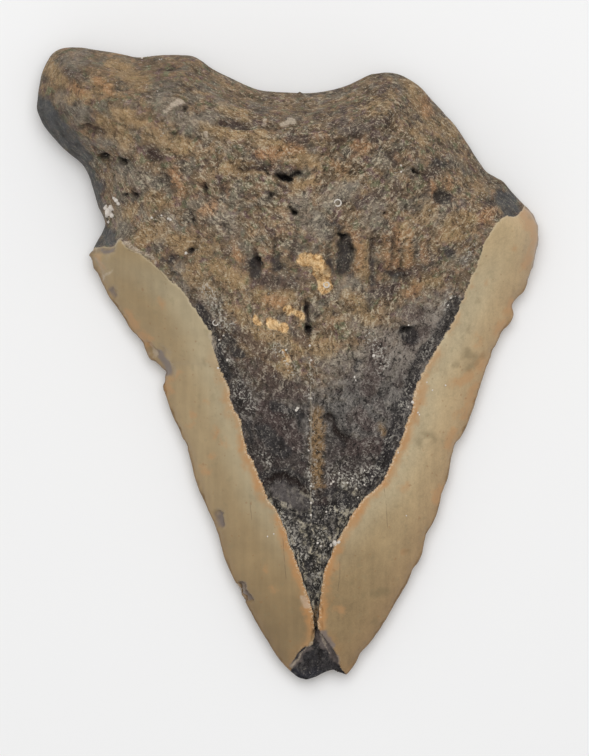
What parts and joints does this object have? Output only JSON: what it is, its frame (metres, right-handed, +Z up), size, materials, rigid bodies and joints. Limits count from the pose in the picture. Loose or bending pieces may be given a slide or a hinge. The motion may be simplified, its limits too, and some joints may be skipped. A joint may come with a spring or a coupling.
{
  "type": "fossil megalodon shark tooth",
  "caption": "Worn fossil megalodon tooth lying on its flat lip-side face: a broad triangular crown with a broken tip, under a thick forked root with a nutrient hole.",
  "frame": {"origin": "on the surface the tooth rests on, at the middle of its outline seen from above", "axes": "+X to the right and +Y from the tip towards the root, seen from above with the bulging tongue side up; +Z up, away from the resting face"},
  "size_m": [0.0956, 0.1204, 0.0235],
  "materials": {
    "fossil": "semi-gloss enamel on the crown, matt fibrous root"
  },
  "bodies": {
    "root": {"tooth": "fossil"}
  },
  "joints": []
}
